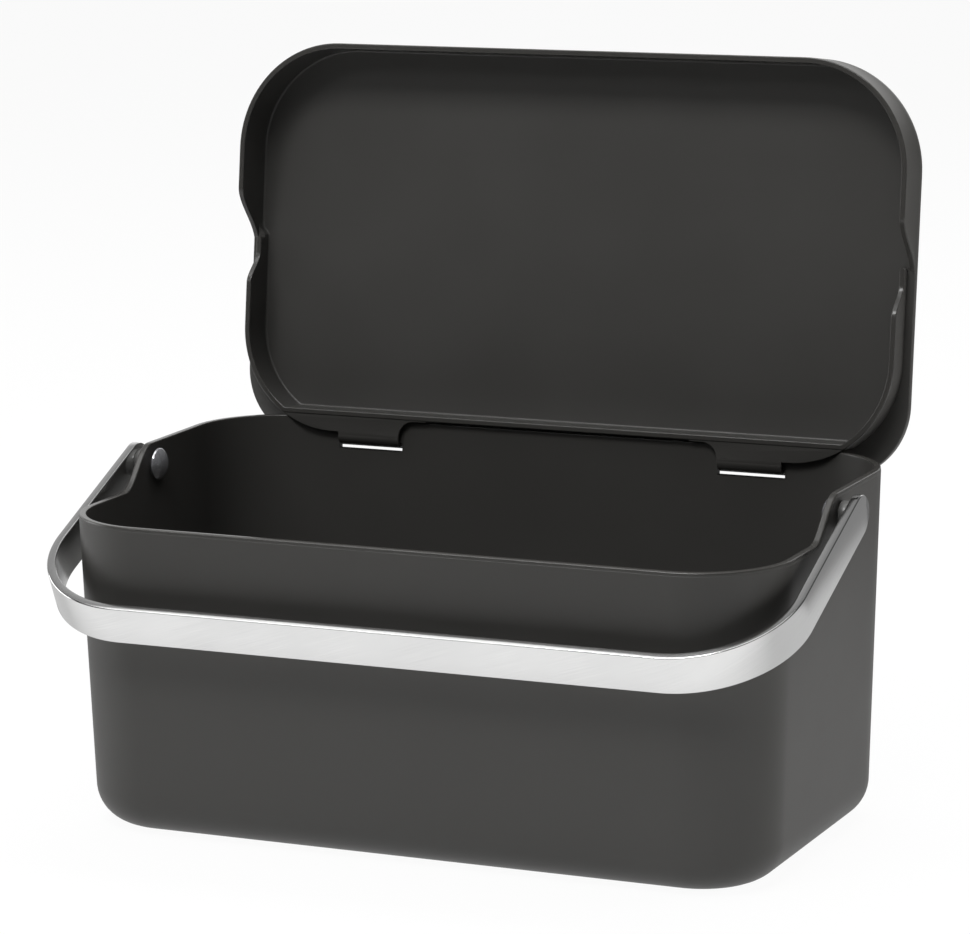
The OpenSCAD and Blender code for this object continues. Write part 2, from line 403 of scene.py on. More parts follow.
binSize = {
    "width": 268.0,
    "depth": 149.0,
    "frontHeight": 112.4,
    "backHeight": 127.0,
    "cornerRadius": 33.5,
    "baseFillet": 14.5,
    "baseFlat": 6.0,  # flat ring inside each base fillet
    "wall": 2.6,
    "floor": 3.0,
    "draft": math.tan(math.radians(2)),
    "riseMiddle": -8.4,
    "riseLength": 21.2,
    "outerRound": 0.7,
    "innerRound": 0.45,
    "rimBand": 12.0,  # the plain wall ends this far below the front rim
    "rimDepth": 2.0,
    "rimFlat": 0.2,
    "rimEdge": 0.3,
    "partLine": 1.3,
    "partStep": 0.09,
    "partEdge": 0.15,
}
binSteps = {
    "sideFront": 5,
    "frontGap": 2.0,  # millimetres from the last wide step to the rise
    "rise": 34,
    "riseMargin": 1.2,
    "backGap": 3.0,
    "sideBack": 8,
    "wide": 24,
    "corner": 24,
    "wall": 8,
    "baseFillet": 14,
    "innerFillet": 12,
    "round": 5,
}
hinge = {
    "y": 72.323,
    "z": 120.5,
    "hookInner": 2.0,
    "hookThick": 1.3,
    "hookWrap": 60.0,
    "hookX": 76.0,
    "slotWidth": 26.0,
    "slotLow": 115.5,
    "slotHigh": 118.9,
    "stripHalf": 0.65,  # half the strip of wall that the hooks turn round
    "pocketHigh": 124.5,
    "pocketOver": 0.01,
    "cutFront": 60.0,
    "cutBack": 85.0,
    "openAngle": 97.5,
}
pivot = {
    "y": 5.0,
    "z": 118.8,
    "hole": 3.05,
    "holeInside": 120.0,
    "holeOutside": 140.0,
    "holeSteps": 60,
}

cornerX = binSize["width"] / 2 - binSize["cornerRadius"]
cornerY = binSize["depth"] / 2 - binSize["cornerRadius"]
riseStart = binSize["riseMiddle"] - binSize["riseLength"] / 2
riseEnd = riseStart + binSize["riseLength"]


def rimHeight(y, low, high):
    return low + (high - low) * ease((y - riseStart) / binSize["riseLength"])


def rimSlope(y, low, high):
    share = (y - riseStart) / binSize["riseLength"]
    return (high - low) * easeSlope(share) / binSize["riseLength"]


def binRim(y):
    return rimHeight(y, binSize["frontHeight"], binSize["backHeight"])


def binRimSlope(y):
    return rimSlope(y, binSize["frontHeight"], binSize["backHeight"])


def binStations(steps):  # each step's centre, and the way the wall faces there
    margin = steps["riseMargin"]
    sides = spread(-cornerY, riseStart - steps["frontGap"], steps["sideFront"])
    sides += spread(riseStart - margin, riseEnd + margin, steps["rise"])
    sides += spread(riseEnd + steps["backGap"], cornerY, steps["sideBack"])
    sides = sides[1:-1]
    wide = spread(-cornerX, cornerX, steps["wide"])[1:-1]

    def corner(x, y, start):
        arc = arcPoints(0, 0, 1, start, start + 90, steps["corner"])
        return [(x, y, nx, ny) for _, _, nx, ny in arc]

    stations = [(cornerX, y, 1.0, 0.0) for y in sides]
    stations += corner(cornerX, cornerY, 0)
    stations += [(x, cornerY, 0.0, 1.0) for x in reversed(wide)]
    stations += corner(-cornerX, cornerY, 90)
    stations += [(-cornerX, y, -1.0, 0.0) for y in reversed(sides)]
    stations += corner(-cornerX, -cornerY, 180)
    stations += [(x, -cornerY, 0.0, -1.0) for x in wide]
    stations += corner(cornerX, -cornerY, 270)
    return stations


def drawBin(size, steps):
    stations = binStations(steps)
    rings = []

    def wallReach(z):  # how far the drafted wall stands out at height z
        return size["cornerRadius"] - size["draft"] * (size["backHeight"] - z)

    def level(height, reach):
        rings.append([(cx + nx * reach, cy + ny * reach, height) for cx, cy, nx, ny in stations])

    def rimRing(depth, inset):  # a ring this deep under the rim, measured square to it
        ring = []
        for cx, cy, nx, ny in stations:
            slope = binRimSlope(cy)
            lean = math.hypot(1, slope)
            z = binRim(cy) - depth / lean
            y = cy + depth * slope / lean
            reach = wallReach(z) - inset
            ring.append((cx + nx * reach, y + ny * reach, z))
        rings.append(ring)

    fillet, wall = size["baseFillet"], size["wall"]
    foot = wallReach(fillet)
    walls = size["frontHeight"] - size["rimBand"]
    level(0.0, foot - fillet - size["baseFlat"])
    for x, z, *_ in arcPoints(foot - fillet, fillet, fillet, -90, 0, steps["baseFillet"]):
        level(z, x)
    for z in spread(fillet, walls, steps["wall"])[1:]:
        level(z, wallReach(z))

    # the parting line, then over the rim
    outer, inner = size["outerRound"], size["innerRound"]
    line, step, edge = size["partLine"], size["partStep"], size["partEdge"]
    rimRing(line + size["rimDepth"], 0.0)
    rimRing(line + step + edge, 0.0)
    rimRing(line + step, 0.0)
    rimRing(line, step)
    rimRing(line - edge, step)
    for inset, depth in quarterRound(outer, steps["round"]):
        rimRing(depth, step + inset)
    rimRing(0.0, step + outer + size["rimFlat"])
    rimRing(0.0, wall - inner - size["rimFlat"])
    for depth, back in quarterRound(inner, steps["round"]):
        rimRing(depth, wall - back)
    rimRing(inner + size["rimEdge"], wall)
    rimRing(inner + size["rimDepth"], wall)

    # down the inside and over the floor
    innerFillet = fillet - wall
    low = size["floor"] + innerFillet
    for z in reversed(spread(low, walls, steps["wall"])[1:]):
        level(z, wallReach(z) - wall)
    for x, z, *_ in arcPoints(foot - fillet, low, innerFillet, 0, -90, steps["innerFillet"]):
        level(z, x)
    level(size["floor"], foot - fillet - size["baseFlat"])
    return joinRings(rings)


def drawRod(size, side):
    round_ = arcPoints(size["y"], size["z"], size["hole"], 0, 360, size["holeSteps"])[:-1]
    return joinRings([[(side * x, y, z) for y, z, *_ in round_]
                      for x in (size["holeInside"], size["holeOutside"])])


binPiece = makePiece("binShell", drawBin(binSize, binSteps), binPlastic)
cutters = []
for side in (-1, 1):
    slotLeft = side * hinge["hookX"] - hinge["slotWidth"] / 2
    slotRight = side * hinge["hookX"] + hinge["slotWidth"] / 2
    through = block(slotLeft, slotRight, hinge["cutFront"], hinge["cutBack"],
                    hinge["slotLow"], hinge["slotHigh"])
    pocket = block(slotLeft, slotRight, hinge["y"] + hinge["stripHalf"], hinge["cutBack"],
                   hinge["slotLow"] - hinge["pocketOver"], hinge["pocketHigh"])
    hole = drawRod(pivot, side)
    cutters += [makePiece("binCutter", cut, binPlastic) for cut in (through, pocket, hole)]
carve(binPiece, cutters)
markRounds(binPiece, binRim)
hangOn(binPiece, "bin", "bin_shell")
print("bin made", len(binPiece.data.polygons), "faces")


# lid, drawn closed and then laid open about the hinge

lidSize = {
    "halfWidth": 132.0,
    "front": 74.0,
    "rear": 76.5,
    "frontRadius": 40.0,
    "rearRadius": 27.5,
    "ledge": 127.5,
    "ledgeEdge": 0.5,
    "ledgeRound": 0.15,
    "top": 133.27,
    "topRound": 3.5,
    "topFlat": 10.0,
    "panel": 130.9,
    "panelFillet": 0.9,
    "panelShrink": 0.85,
    "skirt": 2.0,
    "skirtLow": 112.9,
    "skirtRound": 0.4,
    "skirtInset": 0.04,  # keeps its face off the crown's, so that they join cleanly
    "skirtSunk": 0.4,  # how far its high part runs up into the crown
    "skirtBand": 1.2,
    "skirtEdge": 0.25,
    "skirtTip": 0.12,
    "skirtRoot": 1.8,
    "skirtStart": -0.6,
    "skirtEnd": 0.02,
    "noseGap": 0.5,
    "innerRoot": 1.6,
    "stub": 124.2,
    "dropMiddle": 11.2,
    "dropLength": 11.5,
    "innerHalf": 129.2,
    "innerRadius": 38.0,
    "crossFront": 63.05,
    "crossBack": 65.25,
    "crossFillet": 1.2,
    "recessLead": 5.0,
    "recessGap": 0.5,
    "recessEase": 4.0,
    "recessOver": 0.02,
    "plate": 116.9,
    "plateTop": 118.5,
    "plateRear": 71.147,
    "plateReach": 105.4,  # as far as the thick plate has room in the bin's corner
    "plateRecess": 0.3,
    "plateTip": 0.7,
    "plateBed": 0.4,
    "plateShrink": 0.9995,  # with the gap, keeps its faces off the sheet's
    "plateGap": 0.04,
    "sheetGap": 0.01,
    "plateHollow": 6.0,
    "plateLip": 5.0,
    "tabGap": 0.1,
    "lipHeight": 0.5,
    "sunk": 1.0,  # how far plates and hooks run into the cross wall
    "hookHalf": 12.5,
    "hookGap": 0.03,
    "hookSkin": 0.02,
    "hookStraight": 0.3,
    "edgeRound": 0.3,
}
lidSteps = {
    "outline": 420,
    "corner": 28,
    "side": 30,
    "wide": 20,
    "round": 8,
    "innerSide": 40,
    "innerCorner": 22,
    "crossFillet": 8,
    "cross": 30,
    "recess": 10,
    "skirtRound": 5,
    "skirtSide": 48,
    "skirtEnd": 6,
    "hollow": 14,
    "plateCorner": 18,
    "hookOuter": 24,
    "hookInner": 20,
}
openMatrix = (Matrix.Translation((0, hinge["y"] * mm, hinge["z"] * mm))
              @ Matrix.Rotation(-math.radians(hinge["openAngle"]), 4, "X")
              @ Matrix.Translation((0, -hinge["y"] * mm, -hinge["z"] * mm)))


def apart(a, b):
    return math.hypot(b[0] - a[0], b[1] - a[1])


def toward(a, b, share):
    return tuple(a[i] + (b[i] - a[i]) * share for i in range(4))


def lidOutline(size, steps):
    half, front, rear = size["halfWidth"], size["front"], size["rear"]
    frontR, rearR = size["frontRadius"], size["rearRadius"]
    side = spread(frontR - front, rear - rearR, steps["side"])[1:-1]
    back = spread(half - rearR, rearR - half, steps["wide"])[1:-1]
    nose = spread(frontR - half, half - frontR, steps["wide"])[1:-1]

    def corner(cx, cy, radius, start):
        return arcPoints(cx, cy, radius, start, start + 90, steps["corner"])

    points = [(half, y, 1.0, 0.0) for y in side]
    points += corner(half - rearR, rear - rearR, rearR, 0)
    points += [(x, rear, 0.0, 1.0) for x in back]
    points += corner(rearR - half, rear - rearR, rearR, 90)
    points += [(-half, y, -1.0, 0.0) for y in reversed(side)]
    points += corner(frontR - half, frontR - front, frontR, 180)
    points += [(x, -front, 0.0, -1.0) for x in nose]
    points += corner(half - frontR, frontR - front, frontR, 270)
    return points


def innerCorner(size, steps, inset):  # the skirt's corner, then the bend into the cross wall
    cx = size["innerHalf"] - size["innerRadius"]
    cy = size["plateRear"] - size["innerRadius"]
    radius = size["innerRadius"] - inset
    wallY = size["crossBack"] - inset * (size["crossBack"] - size["crossFront"]) / size["skirt"]
    fillet = size["crossFillet"] + size["skirt"] - inset
    rise = wallY - fillet - cy
    run = math.sqrt((radius - fillet) ** 2 - rise ** 2)
    start = math.degrees(math.atan2(rise, run))
    bend = arcPoints(cx + run, wallY - fillet, fillet, start, 90, steps["crossFillet"])
    return arcPoints(cx, cy, radius, 0, start, steps["innerCorner"]) + bend[1:], wallY


def innerPath(size, steps, inset):
    corner, wallY = innerCorner(size, steps, inset)
    half = size["innerHalf"] - inset
    sideEnd = size["plateRear"] - size["innerRadius"]
    side = spread(size["skirtStart"], sideEnd, steps["innerSide"])[:-1]
    end = corner[-1][0]
    path = [(half, y, 1.0, 0.0) for y in side] + corner
    path += [(x, wallY, 0.0, 1.0) for x in spread(end, -end, steps["cross"])[1:-1]]
    path += [(-x, y, -nx, ny) for x, y, nx, ny in reversed(corner)]
    path += [(-half, y, -1.0, 0.0) for y in reversed(side)]
    return path


def recessLoop(size, steps):  # the hollow's outline, wide in front and narrow behind
    start, lead = size["skirtStart"], size["recessLead"]
    half, narrow = size["halfWidth"] - size["skirt"], size["innerHalf"] - size["skirt"]
    shoulder = []
    for y in spread(start - lead, start, steps["recess"])[:-1]:
        shoulder.append((half + (narrow - half) * ease((y - start) / size["recessEase"] + 1), y))
    front = [(x - nx * size["skirt"], y - ny * size["skirt"], nx, ny)
             for x, y, nx, ny in lidOutline(size, steps)
             if y < start - lead - size["recessGap"]]

    def straight(point):
        return abs(point[2]) == 1.0 and point[3] == 0.0

    left = [p for p in front if straight(p) and p[0] < 0]
    right = [p for p in front if straight(p) and p[0] > 0]
    nose = [p for p in front if not straight(p)]
    loop = innerPath(size, steps, size["skirt"])
    loop += [(-x, y, -1.0, 0.0) for x, y in reversed(shoulder)]
    loop += sorted(left, key=lambda p: -p[1])
    loop += sorted(nose, key=lambda p: p[0])
    loop += sorted(right, key=lambda p: p[1])
    loop += [(x, y, 1.0, 0.0) for x, y in shoulder]
    return loop


def evenLoop(points, count):
    closed = points + [points[0]]
    lengths = [0.0]
    for a, b in zip(closed, closed[1:]):
        lengths.append(lengths[-1] + apart(a, b))
    result, k = [], 0
    for i in range(count):
        want = lengths[-1] * i / count
        while lengths[k + 1] < want:
            k += 1
        span = lengths[k + 1] - lengths[k]
        result.append(toward(closed[k], closed[k + 1], (want - lengths[k]) / span if span else 0))
    return result


def drawCrown(size, steps):
    outer = evenLoop(lidOutline(size, steps), steps["outline"])
    inner = evenLoop(recessLoop(size, steps), steps["outline"])
    first = min(range(steps["outline"]), key=lambda i: apart(outer[0], inner[i]))
    inner = inner[first:] + inner[:first]
    rings = []

    def level(points, inset, height):
        ring = []
        for x, y, nx, ny in points:
            scale = math.hypot(nx, ny)
            ring.append((x - nx / scale * inset, y - ny / scale * inset, height))
        rings.append(ring)

    level(outer, size["topFlat"], size["top"])
    for inset, drop in reversed(quarterRound(size["topRound"], steps["round"])):
        level(outer, inset, size["top"] - drop)
    level(outer, 0.0, size["ledge"] + size["ledgeEdge"])
    level(outer, size["ledgeRound"], size["ledge"] + size["ledgeRound"])
    level(outer, size["ledgeEdge"], size["ledge"])
    level(inner, -size["recessOver"], size["ledge"])
    for inset, drop in quarterRound(size["panelFillet"], steps["round"]):
        level(inner, inset - size["recessOver"], size["panel"] - drop)
    shrink = size["panelShrink"]
    rings.append([(x * shrink, y * shrink, z) for x, y, z in rings[-1]])
    return joinRings(rings)


def drawSkirt(path, freeHeight, freeSlope, root, roundedEnds):
    last = len(path) - 1
    travelled = [0.0]
    for a, b in zip(path, path[1:]):
        travelled.append(travelled[-1] + apart(a, b))
    half, roundness = lidSize["skirt"] / 2, lidSize["skirtRound"]
    outside = [(half, roundness + lidSize[depth]) for depth in ("skirtBand", "skirtEdge")]
    outside += [(half - inset, drop)
                for inset, drop in quarterRound(roundness, lidSteps["skirtRound"])]
    outside.append((half - roundness - lidSize["skirtTip"], 0.0))
    section = outside + [(-t, d) for t, d in reversed(outside)]
    rings = []
    for i, (x, y, nx, ny) in enumerate(path):
        width = 1.0
        if roundedEnds:
            reach = min(travelled[i], travelled[last] - travelled[i])
            width = math.sqrt(max(0.0, 1 - (1 - min(reach / half, 1)) ** 2))
            width = max(width, lidSize["skirtEnd"])
        high, slope = freeHeight(y), freeSlope(y)
        lean = math.hypot(1, slope)
        ring = [(x + nx * half * width, y + ny * half * width, root)]
        for t, d in section:
            shift = -d * slope / lean if abs(nx) > 0.99 else 0
            ring.append((x + nx * t * width, y + shift + ny * t * width, high + d / lean))
        ring.append((x - nx * half * width, y - ny * half * width, root))
        rings.append(ring)
    return joinRings(rings)


def endRefined(path, half, kept=3):  # closer stations at both ends, for their rounding
    def refine(a, b):
        turns = spread(0, 90, lidSteps["skirtEnd"])
        shares = [half * (1 - math.cos(math.radians(t))) / apart(a, b) for t in turns]
        return [toward(a, b, share) for share in shares if share < 1]
    start, end = refine(path[0], path[kept]), refine(path[-1], path[-kept - 1])
    return start + path[kept:-kept] + end[::-1]


def frontPath(size, steps):
    inset = size["skirt"] / 2 + size["skirtInset"]
    half = size["halfWidth"] - inset
    sideEnd = size["frontRadius"] - size["front"]
    nose = [(x - nx * inset, y - ny * inset, nx, ny) for x, y, nx, ny in lidOutline(size, steps)]
    nose = sorted([p for p in nose if p[1] < sideEnd + size["noseGap"]], key=lambda p: p[0])
    side = spread(riseEnd, sideEnd + size["noseGap"], steps["skirtSide"])
    left = [(-half, y, -1.0, 0.0) for y in side]
    return left + nose + [(half, y, 1.0, 0.0) for y in reversed(side)]


def lidRim(y):
    return rimHeight(y, lidSize["skirtLow"], lidSize["ledge"] + lidSize["skirtSunk"])


def lidRimSlope(y):
    return rimSlope(y, lidSize["skirtLow"], lidSize["ledge"] + lidSize["skirtSunk"])


def dropShare(y):
    return (y - lidSize["dropMiddle"]) / lidSize["dropLength"] + 0.5


def dropHeight(y):
    return lidSize["stub"] + (lidSize["plate"] - lidSize["stub"]) * ease(dropShare(y))


def dropSlope(y):
    fall = lidSize["plate"] - lidSize["stub"]
    return fall * easeSlope(dropShare(y)) / lidSize["dropLength"]


def drawPlate(size, steps, side):  # a thin sheet out to the corner, and the thick plate on it
    tabStart, tabEnd = hinge["hookX"] - size["hookHalf"], hinge["hookX"] + size["hookHalf"]
    hollow, front = size["plateHollow"], size["crossFront"] + size["sunk"]
    lipY, rear = size["crossBack"] + size["lipHeight"], size["plateRear"]
    radius = size["innerRadius"]
    cx, cy = size["innerHalf"] - radius, rear - radius
    lipEnd = tabStart - hollow - size["plateLip"]
    stop = math.degrees(math.asin((rear - lipY - hollow) / hollow))
    start = [(lipEnd, front), (lipEnd, lipY)]
    start += [(x, y) for x, y, *_ in arcPoints(tabStart - hollow, lipY + hollow, hollow,
                                               -90, stop, steps["hollow"])]
    tongue = [(tabStart, hinge["y"]), (tabEnd, hinge["y"]), (tabEnd, rear)]

    def rearArc(reach):
        last = math.degrees(math.acos((reach - cx) / radius))
        arc = arcPoints(cx, cy, radius, 90, last, steps["plateCorner"])
        return [(x, y) for x, y, *_ in arc if x > tabEnd + size["tabGap"]]

    reach = size["plateReach"]
    widest = cx + radius * math.cos(math.asin((front - cy) / radius)) - size["sheetGap"]
    sheet = start + tongue + rearArc(widest)
    plate = start + [(tabEnd, rear)] + rearArc(reach) + [(reach, front)]
    plate = [(x * size["plateShrink"], y - size["plateGap"] if y > front else y)
             for x, y in plate]
    low = size["plate"] + size["plateRecess"]
    return [joinRings([[(side * x, y, z) for x, y in outline] for z in heights])
            for outline, heights in ((sheet, (low, low + size["plateTip"])),
                                     (plate, (low + size["plateBed"], size["plateTop"])))]


def drawHook(size, steps, side):
    inner = hinge["hookInner"] + size["hookGap"]
    outer = hinge["hookInner"] + hinge["hookThick"] - size["hookSkin"]
    front, straight = size["crossFront"] + size["sunk"], hinge["y"] - size["hookStraight"]
    wrap = hinge["hookWrap"]
    ring = [(front, hinge["z"] - outer), (straight, hinge["z"] - outer)]
    for radius, a, b, count in ((outer, -90, wrap, steps["hookOuter"]),
                                (inner, wrap, -90, steps["hookInner"])):
        ring += [(y, z) for y, z, *_ in arcPoints(hinge["y"], hinge["z"], radius, a, b, count)]
    ring += [(straight, hinge["z"] - inner), (front, hinge["z"] - inner)]
    middle, half = side * hinge["hookX"], size["hookHalf"] - size["hookGap"]
    return joinRings([[(middle + x, y, z) for y, z in ring] for x in (-half, half)])


lidPiece = makePiece("lidMoulding", drawCrown(lidSize, lidSteps), lidPlastic)
halfSkirt = lidSize["skirt"] / 2
rearPath = endRefined(innerPath(lidSize, lidSteps, halfSkirt), halfSkirt)
frontSkirt = drawSkirt(frontPath(lidSize, lidSteps), lidRim, lidRimSlope,
                       lidSize["ledge"] + lidSize["skirtRoot"], False)
rearSkirt = drawSkirt(rearPath, dropHeight, dropSlope,
                      lidSize["ledge"] + lidSize["innerRoot"], True)
joined = [makePiece("lidSkirt", skirt, lidPlastic) for skirt in (frontSkirt, rearSkirt)]
for side in (-1, 1):
    for part in drawPlate(lidSize, lidSteps, side) + [drawHook(lidSize, lidSteps, side)]:
        joined.append(soften(makePiece("hingePart", part, lidPlastic), lidSize["edgeRound"]))
carve(lidPiece, joined, "UNION")
markRounds(lidPiece, lidRim, dropHeight)
lidPiece.data.transform(openMatrix)
hangOn(lidPiece, "lid", "lid_shell")
print("lid made", len(lidPiece.data.polygons), "faces")


# handle strap, a bar bent along a path

strapSize = {
    "Half Width": 141.41,
    "Arm Length": 97.97,
    "Bend Radius": 40.5,
    "Strap Width": 14.6,
    "Strap Thickness": 3.2,
    "Edge Round": 0.45,
    "Step": 1.0,
}
strapLook = {"edgeSteps": 4, "faceShift": 0.37, "sharpAngle": 40, "weld": 1e-6}
handleSlope = 23.5  # how far the arms lie below level
handleMatrix = (Matrix.Translation((0, pivot["y"] * mm, pivot["z"] * mm))
                @ Matrix.Rotation(math.radians(180 + handleSlope), 4, "X"))


def newTree(name, sizes):
    tree = bpy.data.node_groups.new(name, "GeometryNodeTree")
    tree.interface.new_socket("Geometry", in_out="INPUT", socket_type="NodeSocketGeometry")
    for size, value in sizes.items():
        socket = tree.interface.new_socket(size, in_out="INPUT", socket_type="NodeSocketFloat")
        socket.default_value = value
    tree.interface.new_socket("Material", in_out="INPUT", socket_type="NodeSocketMaterial")
    tree.interface.new_socket("Geometry", in_out="OUTPUT", socket_type="NodeSocketGeometry")
    bench = Bench(tree)
    given = bench.add("NodeGroupInput")
    return tree, bench, given


def closeTree(bench, given, geometry):
    real = bench.add("GeometryNodeRealizeInstances", None, {"Geometry": geometry})
    coated = bench.add("GeometryNodeSetMaterial", None,
                       {"Geometry": real, "Material": given.other("Material")})
    bench.add("NodeGroupOutput", None, {"Geometry": coated})


def keepValue(bench, geometry, name, value):
    return bench.add("GeometryNodeStoreNamedAttribute", {"data_type": "FLOAT", "domain": "POINT"},
                     {"Geometry": geometry, "Name": name, "Value": value})


def strapTree():
    tree, bench, given = newTree("bentStrap", strapSize)
    halfWidth, armLength = given.other("Half Width"), given.other("Arm Length")
    bend, width = given.other("Bend Radius"), given.other("Strap Width")
    thick, edge = given.other("Strap Thickness"), given.other("Edge Round")

    # the path: half the bar, a quarter turn and an arm, mirrored about the middle
    middle = bend - thick / 2
    flat = halfWidth - bend
    quarter = middle * (math.pi / 2)
    arm = armLength - bend
    reach = flat + quarter + arm + width / 2
    count = (reach * 2 / given.other("Step")).done("ROUND")
    line = bench.add("GeometryNodeMeshLine", None, {"Count": count + 1})
    run = (bench.add("GeometryNodeInputIndex") / count - 0.5) * 2 * reach
    side = run.done("SIGN")
    far = run.done("ABSOLUTE")
    straight = reach - width / 2
    over = (far - straight).atLeast(0) / (width / 2)  # closer steps round each end
    far = far.atMost(straight) + (over * (math.pi / 2)).done("SINE") * (width / 2)
    turn = (far - flat).atLeast(0).atMost(quarter) / middle
    x = far.atMost(flat) + turn.done("SINE") * middle
    y = armLength - thick / 2 - (1 - turn.done("COSINE")) * middle
    y = y - (far - flat - quarter).atLeast(0)
    spot = bench.add("ShaderNodeCombineXYZ", None, {"X": x * side, "Y": y})
    bent = bench.add("GeometryNodeSetPosition", None, {"Geometry": line, "Position": spot})
    marked = keepValue(bench, bent, "alongStrap", far * side)
    rail = bench.add("GeometryNodeMeshToCurve", None, {"Mesh": marked})
    rail = bench.add("GeometryNodeSetCurveNormal", {"mode": "Z_UP"}, {"Curve": rail})

    # the flat section swept along it, narrowed to a half circle past each pivot
    section = bench.add("GeometryNodeCurvePrimitiveQuadrilateral", {"mode": "RECTANGLE"},
                        {"Width": thick, "Height": width})
    section = bench.add("GeometryNodeFilletCurve", {"mode": "POLY"},
                        {"Curve": section, "Count": strapLook["edgeSteps"], "Radius": edge})
    strap = bench.add("GeometryNodeCurveToMesh", None,
                      {"Curve": rail, "Profile Curve": section, "Fill Caps": True})
    here = bench.add("GeometryNodeInputPosition")
    parts = bench.add("ShaderNodeSeparateXYZ", None, {"Vector": here})
    share = (parts.other("Y").atMost(0) / (width / 2)).done("ABSOLUTE").atMost(1)
    shrink = (1 - share * share).atLeast(0).done("SQRT")
    nearer = bench.add("ShaderNodeCombineXYZ", None,
                       {"X": parts, "Y": parts.other("Y"), "Z": parts.other("Z") * shrink})
    strap = bench.add("GeometryNodeSetPosition", None, {"Geometry": strap, "Position": nearer})
    strap = keepValue(bench, strap, "acrossStrap",
                      parts.other("Z") + parts * strapLook["faceShift"])
    strap = keepValue(bench, strap, "towardEdge",
                      (parts.other("Z") / (width / 2)).done("ABSOLUTE"))
    strap = bench.add("GeometryNodeMergeByDistance", None,
                      {"Geometry": strap, "Distance": strapLook["weld"]})
    closeTree(bench, given, strap)
    return tree


def growPiece(name, tree, sizes, material, base=None):
    piece = bpy.data.objects.new(name, base or bpy.data.meshes.new(name))
    bpy.context.scene.collection.objects.link(piece)
    modifier = piece.modifiers.new("build", "NODES")
    modifier.node_group = tree
    inputs = [item for item in tree.interface.items_tree if item.in_out == "INPUT"]
    sockets = {item.name: item.identifier for item in inputs}
    for size, value in sizes.items():
        modifier[sockets[size]] = value
    modifier[sockets["Material"]] = material
    return settle(piece, False)


strapMetres = {name: value * mm for name, value in strapSize.items()}
strapPiece = growPiece("handleStrap", strapTree(), strapMetres, strapSteel)
shape = bmesh.new()
shape.from_mesh(strapPiece.data)
bmesh.ops.recalc_face_normals(shape, faces=shape.faces)
shape.to_mesh(strapPiece.data)
shape.free()
strapPiece.data.transform(handleMatrix)
smooth(strapPiece.data, math.radians(strapLook["sharpAngle"]))
hangOn(strapPiece, "handle", "handle_strap")
print("strap made", len(strapPiece.data.polygons), "faces")


# pivots: studs, spacer bushes and domed cap nuts, one of each on both sides

pivotSize = {
    "studRadius": 3.0,
    "studChamfer": 0.3,
    "bushRadius": 5.0,
    "bushRound": 0.35,
    "bushEdge": 0.1,
    "nutRadius": 5.8,
    "nutHeight": 3.4,
    "nutEdge": 0.9,
    "nutChamfer": 0.15,
    "nutShoulder": (0.1, 0.08, 0.12),  # in, below and above, where the dome meets the side
    "nutFace": 130.61,
    "bushFace": 134.19,
    "strapFace": 138.21,
    "bore": 3.05,
    "boreChamfer": 0.1,
    "boreDepth": 0.2,  # how far the nut's bore runs into its dome
    "domeSteps": 16,
    "steps": 64,
}


def turned(profile, steps):  # a profile spun about z
    rings = []
    for radius, height in profile:
        turns = [2 * math.pi * i / steps for i in range(steps)]
        rings.append([(radius * math.cos(a), radius * math.sin(a), height) for a in turns])
    return joinRings(rings, False)


def nutProfile(size):
    radius, face, bore = size["nutRadius"], size["nutFace"], size["bore"]
    rise = size["nutHeight"] - size["nutEdge"]
    dome = (radius * radius + rise * rise) / (2 * rise)
    top = face - size["nutHeight"]
    shoulder = top + rise
    widest = math.degrees(math.asin(radius / dome))
    profile = [(0.0, top)]
    for a in spread(0, widest, size["domeSteps"])[1:-1]:
        turn = math.radians(a)
        profile.append((dome * math.sin(turn), top + dome * (1 - math.cos(turn))))
    inside, below, above = size["nutShoulder"]
    profile += [(radius - inside, shoulder - below), (radius, shoulder + above)]
    profile += [(radius, face - size["nutChamfer"]), (radius - size["nutChamfer"], face)]
    profile += [(bore + size["boreChamfer"], face), (bore, face - size["boreChamfer"])]
    profile += [(bore, shoulder - size["boreDepth"]), (0.0, shoulder - size["boreDepth"])]
    return profile


def bushProfile(size):
    radius, bore, low, high = size["bushRadius"], size["bore"], size["bushFace"], size["strapFace"]
    round_, edge, chamfer = size["bushRound"], size["bushEdge"], size["boreChamfer"]
    return [(bore, low + chamfer), (bore + chamfer, low), (radius - round_, low),
            (radius - edge, low + edge), (radius, low + round_), (radius, high - round_),
            (radius - edge, high - edge), (radius - round_, high), (bore + chamfer, high),
            (bore, high - chamfer), (bore, low + chamfer)]


def studProfile(size):
    radius, chamfer = size["studRadius"], size["studChamfer"]
    low = size["nutFace"] - size["nutEdge"]
    return [(0.0, low), (radius - chamfer, low), (radius, low + chamfer),
            (radius, size["strapFace"]), (0.0, size["strapFace"])]


pivotPlace = {"Side": 1.0, "Pivot Y": pivot["y"] * mm, "Pivot Z": pivot["z"] * mm}


def pivotTree():  # lays a turned piece along the pivot's axis, to one side
    tree, bench, given = newTree("onPivot", pivotPlace)
    spot = bench.add("ShaderNodeCombineXYZ", None,
                     {"Y": given.other("Pivot Y"), "Z": given.other("Pivot Z")})
    point = bench.add("GeometryNodePoints", None, {"Count": 1, "Position": spot, "Radius": 0.001})
    turn = bench.add("ShaderNodeCombineXYZ", None, {"Y": given.other("Side") * (math.pi / 2)})
    copies = bench.add("GeometryNodeInstanceOnPoints", None,
                       {"Points": point, "Instance": given, "Rotation": turn})
    closeTree(bench, given, copies)
    return tree


